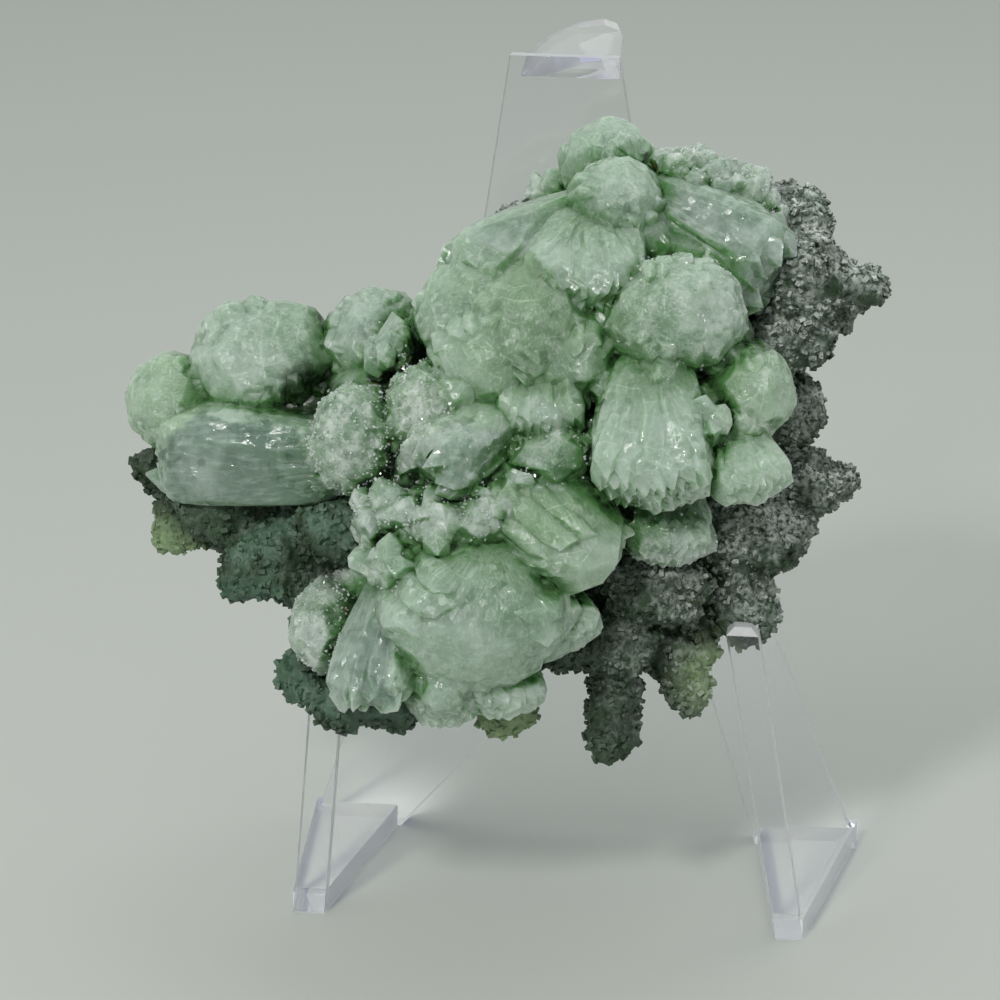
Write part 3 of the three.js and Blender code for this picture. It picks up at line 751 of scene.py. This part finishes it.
def prehnite_material(settings):
    """Cloudy green crystal, whiter at its ends and along its layers, greener and darker in its crevices and
    towards its foot as painted shade, lighter on its rims as painted light.
    """
    material, make, shader, _ = start_material("Prehnite")
    place = make.place()
    names = ("reach", "blue", "frost", "tint", "occlusion", "span")
    reach, blue, frost, tint, occlusion, span = map(make.attribute, names)
    cloud = make.noise(place, 160.0, 3.0, 0.6)
    fine = make.noise(place, 900.0, 4.0, 0.65)
    streak = make.noise(make.attribute("flow", "Vector"), 26.0, 3.0, 0.65)
    # Body colour: cloudy green, cooler on the striated sides, greener and darker towards the foot of each
    # crystal as painted shade
    body = make.mix(make.ramp(cloud, 0.35, 0.68), settings.green, settings.pale)
    body = make.mix(make.ramp(tint, -1.0, 1.0, 0.0, 0.5), body, YELLOW_GREEN)
    body = make.mix(make.times(blue, 0.9), body, settings.cool)
    body = make.mix(make.ramp(reach, 0.12, 0.6, 0.7, 0.0), body, FOOT_SHADE_GREEN)
    # White bloom towards the outer arc, fine white lines along the growth and along its layers
    bloom = make.times(make.ramp(reach, 0.45, 1.0), make.ramp(fine, 0.36, 0.62, 0.3, 1.0))
    body = make.mix(make.times(bloom, make.ramp(blue, 0.0, 1.0, 0.6, 0.3)), body, settings.bloom)
    line = make.times(make.ramp(streak, 0.5, 0.66), make.ramp(blue, 0.0, 1.0, 0.4, 0.28))
    body = make.mix(line, body, settings.bloom)
    wave = make.plus(span, make.times(make.noise(place, 250.0, 2.0), 1.6))
    edge = make.ramp(make.math("FRACT", make.math("DIVIDE", wave, LAYER)), 0.9, 0.97)
    edge = make.times(edge, make.ramp(make.noise(place, 420.0, 2.0), 0.48, 0.6))
    body = make.mix(make.times(edge, make.ramp(blue, 0.0, 0.6, 0.4, 0.0)), body, LAYER_WHITE)
    # Milky clouds inside
    milk = make.times(make.ramp(make.noise(place, 85.0, 3.0, 0.6), 0.5, 0.68), make.ramp(reach, 0.2, 0.7))
    body = make.mix(make.times(milk, 0.5), body, MILK)
    # White frost in patches
    patch = make.times(frost, make.ramp(make.noise(place, 330.0, 5.0, 0.75), 0.42, 0.6))
    body = make.mix(make.times(patch, 0.85), body, FROST_WHITE)
    # Painted light on the rims, growing where the surface turns away from the view, as if thin edges let
    # light through
    rim = make.add("ShaderNodeLayerWeight", {"Blend": 0.35})
    body = make.mix(make.times(rim.outputs["Facing"], 0.55), body, PAINTED_RIM_LIGHT)
    # Painted shade in the crevices: saturated green, then nearly black where the surface is most enclosed,
    # with a few brown specks there, and painted shade in the dark hollow
    body = make.mix(make.ramp(occlusion, 0.1, 0.4, 0.0, 0.92), body, settings.crevice)
    body = make.mix(make.ramp(occlusion, 0.45, 0.7, 0.0, 0.97), body, DARKEST_CREVICE_SHADE)
    specks = make.ramp(make.noise(place, 600.0, 2.0, 0.5), 0.68, 0.74)
    specks = make.times(specks, make.ramp(occlusion, 0.25, 0.45))
    body = make.mix(make.times(specks, 0.7), body, BROWN)
    hollow = make.away(place, HOLLOW + Vector((0, 8, 0)))
    body = make.mix(make.ramp(hollow, 0.0042, 0.0024, 0.0, 0.97), body, HOLLOW_SHADE)
    rough = make.ramp(fine, 0.35, 0.65, 0.06, 0.28)
    make.fill(shader, {"Base Color": body, "Roughness": rough, "IOR": CRYSTAL_IOR,
                       "Subsurface Weight": settings.glow, "Subsurface Radius": (0.8, 1.0, 0.75),
                       "Subsurface Scale": 0.0045})
    height = make.plus(make.times(streak, 1.2), make.times(fine, 0.9))
    sparkle = make.plus(make.ramp(make.noise(place, 140.0, 3.0, 0.6), 0.52, 0.62), frost)
    add_relief(make, shader, height, 0.5, 0.00022, 1300.0, make.ramp(sparkle, 0.1, 0.9, 0.35, 1.3))
    return material


def frost_material(settings):
    """Pale and glossy, with a little light inside."""
    material, make, shader, _ = start_material("Frost")
    cloud = make.ramp(make.noise(make.place(), 500.0, 2.0), 0.4, 0.62)
    make.fill(shader, {"Base Color": make.mix(cloud, settings.pale, FROST_PALE), "Roughness": 0.12,
                       "IOR": CRYSTAL_IOR, "Subsurface Weight": 0.2, "Subsurface Radius": (0.8, 1.0, 0.8),
                       "Subsurface Scale": 0.001})
    return material


def rock_material(settings, name="Rock", light=0.0):
    """Dark rock with sugary grains, more of them where light is painted on, and painted shade in its
    crevices. Light makes it more sugary, and then it has no painted shade in its crevices.
    """
    material, make, shader, _ = start_material(name)
    place = make.place()
    x, _, z = make.parts(place)
    cloud = make.noise(place, 130.0, 4.0, 0.6)
    grain = make.noise(place, 1500.0, 3.0, 0.7)
    body = make.mix(make.ramp(cloud, 0.38, 0.62), settings.rock, settings.rock_green)
    # Teal patches on the left, yellow-green finger tips
    teal = make.times(make.ramp(make.noise(place, 110.0, 2.0), 0.46, 0.56), make.ramp(x, -0.002, -0.012))
    body = make.mix(make.times(teal, 0.7), body, TEAL)
    for tip in TIPS:
        near = make.ramp(make.away(place, tip), 0.006, 0.003)
        body = make.mix(make.times(near, 0.8), body, TIP_GREEN)
    # Sugary light grains, laid on most of all on what faces up and towards the upper right as painted light
    normal = make.add("ShaderNodeNewGeometry").outputs["Normal"]
    top_light = make.ramp(make.parts(normal)[2], -0.5, 0.9, 0.15, 1.0)
    patch = make.ramp(make.noise(place, 240.0, 3.0, 0.6), 0.34, 0.54)
    side = make.ramp(make.plus(x, make.times(z, 0.6)), 0.026, 0.055, 0.1, 1.0)
    sugar_and_light = make.times(top_light, make.times(patch, side))
    sugar_and_light = make.times(make.ramp(grain, 0.38 - 0.1 * light, 0.58), sugar_and_light)
    body = make.mix(make.times(sugar_and_light, 0.95), body, SUGAR_AND_TOP_LIGHT)
    # Painted shade in the crevices
    if not light:
        body = make.mix(make.ramp(make.attribute("occlusion"), 0.1, 0.42, 0.0, 0.95), body, ROCK_CREVICE_SHADE)
    make.fill(shader, {"Base Color": body, "Roughness": make.ramp(grain, 0.3, 0.7, 0.75, 0.4)})
    add_relief(make, shader, grain, 0.7, 0.0003, 2200.0, 0.5)
    return material


def clear_material(settings, name="Clear sheet", rough=0.04, clear=1.0):
    """Clear sheet that soaks up a little light and throws only a faint shadow."""
    material, make, shader, out = start_material(name)
    make.fill(shader, {"Base Color": settings.clear, "Roughness": rough, "IOR": SHEET_IOR,
                       "Transmission Weight": clear})
    shadow = make.add("ShaderNodeLightPath").outputs["Is Shadow Ray"]
    through = make.add("ShaderNodeBsdfTransparent", {0: SHADOW})
    mix = make.add("ShaderNodeMixShader", {0: shadow, 1: shader.outputs[0], 2: through.outputs[0]})
    soak = make.add("ShaderNodeVolumeAbsorption", {"Color": SOAKED, "Density": settings.absorption})
    make.fill(out, {"Surface": mix.outputs[0], "Volume": soak.outputs[0]})
    return material


def moved_out(make, given, height):
    """The surface, moved along its normals."""
    offset = make.vector("SCALE", make.add("GeometryNodeInputNormal").outputs[0], height)
    inputs = {"Geometry": given["Geometry"], "Offset": offset}
    return make.add("GeometryNodeSetPosition", inputs).outputs[0]


def crystal_surface(make, given):
    """Small steps, lines along the growth, layers across it and a fine grain."""
    def swing(wave, name):
        return make.times(make.math("SUBTRACT", wave, 0.5), given[name])

    place = make.add("GeometryNodeInputPosition").outputs[0]
    steps = swing(make.parts(make.cells(place, given["Step scale"]))[0], "Step height")
    lines = make.noise(make.stored("flow", "FLOAT_VECTOR"), given["Line scale"], 2.0, 0.5)
    fine = make.noise(place, given["Fine scale"], 2.0, 0.5)
    uneven = make.plus(make.stored("span"), make.times(make.noise(place, 350.0, 2.0, 0.5), 3.0))
    layer = make.math("FRACT", make.math("DIVIDE", uneven, given["Layer length"]))
    layers = make.times(make.math("SUBTRACT", 0.5, layer), given["Layer height"])
    sharp = make.plus(swing(lines, "Line height"), swing(fine, "Fine height"))
    return moved_out(make, given, make.plus(make.plus(steps, layers), make.times(sharp, 2.0)))


def rock_surface(make, given):
    """Large lumps and small grain."""
    place = make.add("GeometryNodeInputPosition").outputs[0]
    height = 0.0
    for kind, detail in (("Lump", 2.0), ("Grain", 3.0)):
        wave = make.noise(place, given[kind + " scale"], detail, 0.5)
        part = make.times(make.math("SUBTRACT", wave, 0.52), 4.0)
        height = make.plus(height, make.times(part, given[kind + " height"]))
    return moved_out(make, given, height)


def scattered(make, given):
    """Small crystals scattered on a surface and turned with it, as many as the attribute grainy asks for."""
    seed = given["Seed"]
    density = make.times(given["Density"], make.stored("grainy"))
    inputs = {"Mesh": given["Geometry"], "Density": density, "Seed": seed}
    points = make.add("GeometryNodeDistributePointsOnFaces", inputs).outputs
    sample = make.add("GeometryNodeObjectInfo", {"Object": given["Grain"]})
    inputs = {2: given["Smallest"], 3: given["Largest"], "Seed": seed}
    size = make.add("FunctionNodeRandomValue", inputs, data_type="FLOAT")
    inputs = {0: (-0.7, -0.7, -3.14), 1: (0.7, 0.7, 3.14), "Seed": seed}
    spin = make.add("FunctionNodeRandomValue", inputs, data_type="FLOAT_VECTOR")
    inputs = {0: points["Rotation"], 1: spin.outputs[0]}
    turn = make.add("FunctionNodeRotateRotation", inputs, rotation_space="LOCAL")
    inputs = {"Points": points["Points"], "Instance": sample.outputs["Geometry"], "Rotation": turn.outputs[0],
              "Scale": size.outputs[1]}
    return make.add("GeometryNodeInstanceOnPoints", inputs).outputs[0]


def with_nodes(source, name, lay, values):
    """The plain mesh that a node tree makes of an object. Lay adds the tree's own nodes to its maker."""
    tree = bpy.data.node_groups.new(name, "GeometryNodeTree")
    tree.is_modifier = True
    face = tree.interface
    for way in ("INPUT", "OUTPUT"):
        face.new_socket("Geometry", in_out=way, socket_type="NodeSocketGeometry")
    sockets = {}
    for title, value in values.items():
        kind = "NodeSocket" + type(value).__name__.capitalize()
        sockets[title] = face.new_socket(title, in_out="INPUT", socket_type=kind).identifier
    make = NodeMaker(tree)
    given = make.add("NodeGroupInput").outputs
    real = make.add("GeometryNodeRealizeInstances", {0: lay(make, given)})
    paint = make.add("GeometryNodeSetMaterial", {"Geometry": real.outputs[0], "Material": given["Material"]})
    make.add("NodeGroupOutput", {0: paint.outputs[0]})
    change = source.modifiers.new("nodes", "NODES")
    change.node_group = tree
    for title, value in values.items():
        change[sockets[title]] = value
    return plain_result(source)


def scatter_on(source, name, values):
    """An object of small crystals scattered on another."""
    seed = bmesh.new()
    bmesh.ops.create_cube(seed, size=GRAIN * MM)
    bmesh.ops.scale(seed, vec=(1.0, 0.6, 1.3), verts=seed.verts)
    mesh = bpy.data.meshes.new("small block")
    seed.to_mesh(mesh)
    seed.free()
    block = add_object("small block", mesh)
    result = add_object(name, with_nodes(source, "Scattered " + name, scattered, {**values, "Grain": block}))
    bpy.data.objects.remove(block)
    return result


def colour(name, description, red, green, blue):
    return bpy.props.FloatVectorProperty(name=name, description=description, subtype="COLOR", size=4,
                                         default=(red, green, blue, 1), min=0, max=1)


class PREHNITE_settings(bpy.types.PropertyGroup):
    plate: bpy.props.FloatProperty(
        name="Facet size", description="Width of the flat facets on a dome, in millimetres",
        default=2.2, min=0.8, max=4.0)
    glow: bpy.props.FloatProperty(
        name="Translucency", description="How much light passes inside the crystals",
        default=0.85, min=0.0, max=1.0, subtype="FACTOR")
    grain_density: bpy.props.FloatProperty(
        name="Grain density", description="Small crystals on the rock, per square metre",
        default=1000000.0, min=0.0)
    green: colour("Green", "Body colour of the crystals", 0.165, 0.270, 0.180)
    pale: colour("Pale green", "Paler body colour", 0.290, 0.385, 0.305)
    cool: colour("Blue-grey green", "Colour of the striated sides", 0.055, 0.112, 0.082)
    bloom: colour("Bloom", "Whitish crystal ends", 0.50, 0.58, 0.53)
    # Painted shade: the saturated green laid into the crevices between the crystals
    crevice: colour("Crevice", "Colour between the crystals", 0.075, 0.215, 0.055)
    rock: colour("Rock", "Dark colour of the rock", 0.014, 0.036, 0.012)
    rock_green: colour("Green rock", "Greener colour of the rock", 0.034, 0.070, 0.032)
    clear: colour("Sheet", "Colour of the clear sheet", 0.98, 0.98, 0.99)
    absorption: bpy.props.FloatProperty(
        name="Absorption", description="How fast the sheet soaks up light, per metre", default=25.0, min=0.0)


class PREHNITE_OT_crystals(bpy.types.Operator):
    """Builds the green crystals as one fused cluster, and the frost on them"""
    bl_idname = "prehnite.crystals"
    bl_label = "Crystals"

    def execute(self, context):
        settings = context.scene.prehnite
        parts = []
        for i, entry in enumerate(DOMES):
            parts += dome_parts(entry, 11 + i, settings.plate)
        for shape, entries, seed in ((fan_parts, FANS, 101), (flare_parts, FLARES, 151),
                                     (tablet_parts, TABLETS, 171)):
            for i, entry in enumerate(entries):
                parts += shape(entry, seed + i)
        parts += filler_parts(7)
        roll = random.Random(9)
        parts += [lump(middle, sizes, roll) for middle, sizes in BEDS]
        piece = union_of("crystals", parts)
        keep_largest(piece.data)
        finer_faces(piece.data, LONGEST_EDGE)
        describe_crystals(piece.data)
        values = {**CRYSTAL_SURFACE, "Material": prehnite_material(settings)}
        mesh = with_nodes(piece, "Crystal surface", crystal_surface, values)
        piece.data = mesh
        mesh.name = "crystals"
        # How enclosed each vertex is, for the painted shade in the crevices
        store(mesh, "occlusion", depth_in_crevices(mesh, 0.006, 10))
        frosty = np.empty(len(mesh.vertices), dtype=np.float32)
        mesh.attributes["frost"].data.foreach_get("value", frosty)
        store(mesh, "grainy", np.clip(frosty - 0.35, 0, 1))
        mesh.shade_smooth()
        mesh.set_sharp_from_angle(angle=math.radians(12))
        frost = scatter_on(piece, "frost", {**FROST, "Material": frost_material(settings)})
        for built in (piece, frost):
            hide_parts("prehnite")
            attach(built, "root")
        return {"FINISHED"}


class PREHNITE_OT_rock(bpy.types.Operator):
    """Builds the dark rock and the small crystals on it"""
    bl_idname = "prehnite.rock"
    bl_label = "Rock"

    def execute(self, context):
        settings = context.scene.prehnite
        base = merged_copy("rock base", "matrix")
        even = base.modifiers.new("even", "REMESH")
        even.mode = "VOXEL"
        even.voxel_size = 0.5 * MM
        base.modifiers.new("soften", "SMOOTH").iterations = 4
        values = {**ROCK_SURFACE, "Material": rock_material(settings)}
        mesh = with_nodes(base, "Rock surface", rock_surface, values)
        bpy.data.objects.remove(base)
        piece = add_object("rock", mesh)
        # How enclosed each vertex is, for the painted shade in the crevices
        store(mesh, "occlusion", depth_in_crevices(mesh, 0.008, 8))
        store(mesh, "grainy", np.ones(len(mesh.vertices)))
        mesh.shade_smooth()
        material = rock_material(settings, "Rock grains", 0.25)
        values = {"Density": settings.grain_density, **ROCK_GRAINS, "Material": material}
        crumbs = scatter_on(piece, "rock_grains", values)
        for built in (piece, crumbs):
            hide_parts("matrix")
            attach(built, "root")
        return {"FINISHED"}


class PREHNITE_OT_stand(bpy.types.Operator):
    """Builds the clear stand with softened edges"""
    bl_idname = "prehnite.stand"
    bl_label = "Stand"

    def execute(self, context):
        settings = context.scene.prehnite
        piece = merged_copy("clear_stand", "stand", math.radians(1))
        mesh = piece.data
        mesh.materials.clear()
        mesh.materials.append(clear_material(settings))
        mesh.materials.append(clear_material(settings, "Sheet edges", 0.3, 0.45))
        for face in mesh.polygons:
            corners = [mesh.vertices[i].co for i in face.vertices]
            longest = max((a - b).length for a, b in zip(corners, corners[1:] + corners[:1]))
            face.material_index = int(face.area / longest < EDGE_WIDTH * MM)
        soft = piece.modifiers.new("edges", "BEVEL")
        soft.width = 0.55 * MM
        soft.material = 1
        soft.segments = 2
        soft.limit_method = "ANGLE"
        soft.angle_limit = math.radians(30)
        piece.data = plain_result(piece)
        piece.data.name = "clear_stand"
        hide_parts("stand")
        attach(piece, "root")
        return {"FINISHED"}


class PREHNITE_OT_stage(bpy.types.Operator):
    """Builds the plain floor, the lights and the camera"""
    bl_idname = "prehnite.stage"
    bl_label = "Stage"

    def execute(self, context):
        scene = context.scene
        mesh = bpy.data.meshes.new("floor")
        corners = ((-4, -4), (4, -4), (4, 4), (-4, 4))
        mesh.from_pydata([(x, y, FLOOR_TOP) for x, y in corners], [], [(0, 1, 2, 3)])
        floor = add_object("floor", mesh)
        material, make, shader, _ = start_material("Floor")
        make.fill(shader, {"Base Color": FLOOR, "Roughness": 0.7})
        mesh.materials.append(material)
        world = bpy.data.worlds.new("Studio")
        scene.world = world
        world.use_nodes = True
        sky = world.node_tree.nodes["Background"]
        sky.inputs[0].default_value = (0.80, 0.84, 0.83, 1)
        sky.inputs[1].default_value = 0.68
        for name, spot, size, power, tone in LIGHTS:
            data = bpy.data.lights.new(name, "AREA")
            data.size = size
            data.energy = power
            data.color = tone
            light = add_object(name, data)
            light.location = spot
            light.rotation_euler = (LIT_POINT - Vector(spot)).to_track_quat("-Z", "Y").to_euler()
        data = bpy.data.cameras.new("Camera")
        data.sensor_width = SENSOR
        data.lens = SENSOR * PHOTO_SCALE * CAMERA_AWAY / PHOTO_WIDTH
        camera = add_object("Camera", data)
        back = Vector((0, -math.cos(CAMERA_RISE), math.sin(CAMERA_RISE)))
        camera.location = (AIM + SHIFT + back * CAMERA_AWAY) * MM
        camera.rotation_euler = (math.pi / 2 - CAMERA_RISE, 0, 0)
        scene.camera = camera
        scene.view_settings.view_transform = "Standard"
        return {"FINISHED"}


class PREHNITE_PT_panel(bpy.types.Panel):
    """Sizes, colours and the steps of the build"""
    bl_label = "Prehnite"
    bl_idname = "PREHNITE_PT_panel"
    bl_space_type = "VIEW_3D"
    bl_region_type = "UI"
    bl_category = "Prehnite"

    def draw(self, context):
        for name in PREHNITE_settings.__annotations__:
            self.layout.prop(context.scene.prehnite, name)
        for step in ("crystals", "rock", "stand", "stage"):
            self.layout.operator("prehnite." + step)


CLASSES = (PREHNITE_settings, PREHNITE_OT_crystals, PREHNITE_OT_rock, PREHNITE_OT_stand, PREHNITE_OT_stage,
           PREHNITE_PT_panel)


def register():
    for kind in CLASSES:
        bpy.utils.register_class(kind)
    bpy.types.Scene.prehnite = bpy.props.PointerProperty(type=PREHNITE_settings)


def unregister():
    del bpy.types.Scene.prehnite
    for kind in reversed(CLASSES):
        bpy.utils.unregister_class(kind)


def main():
    register()
    bpy.ops.prehnite.crystals()
    bpy.ops.prehnite.rock()
    bpy.ops.prehnite.stand()
    bpy.ops.prehnite.stage()


if __name__ == "__main__":
    main()
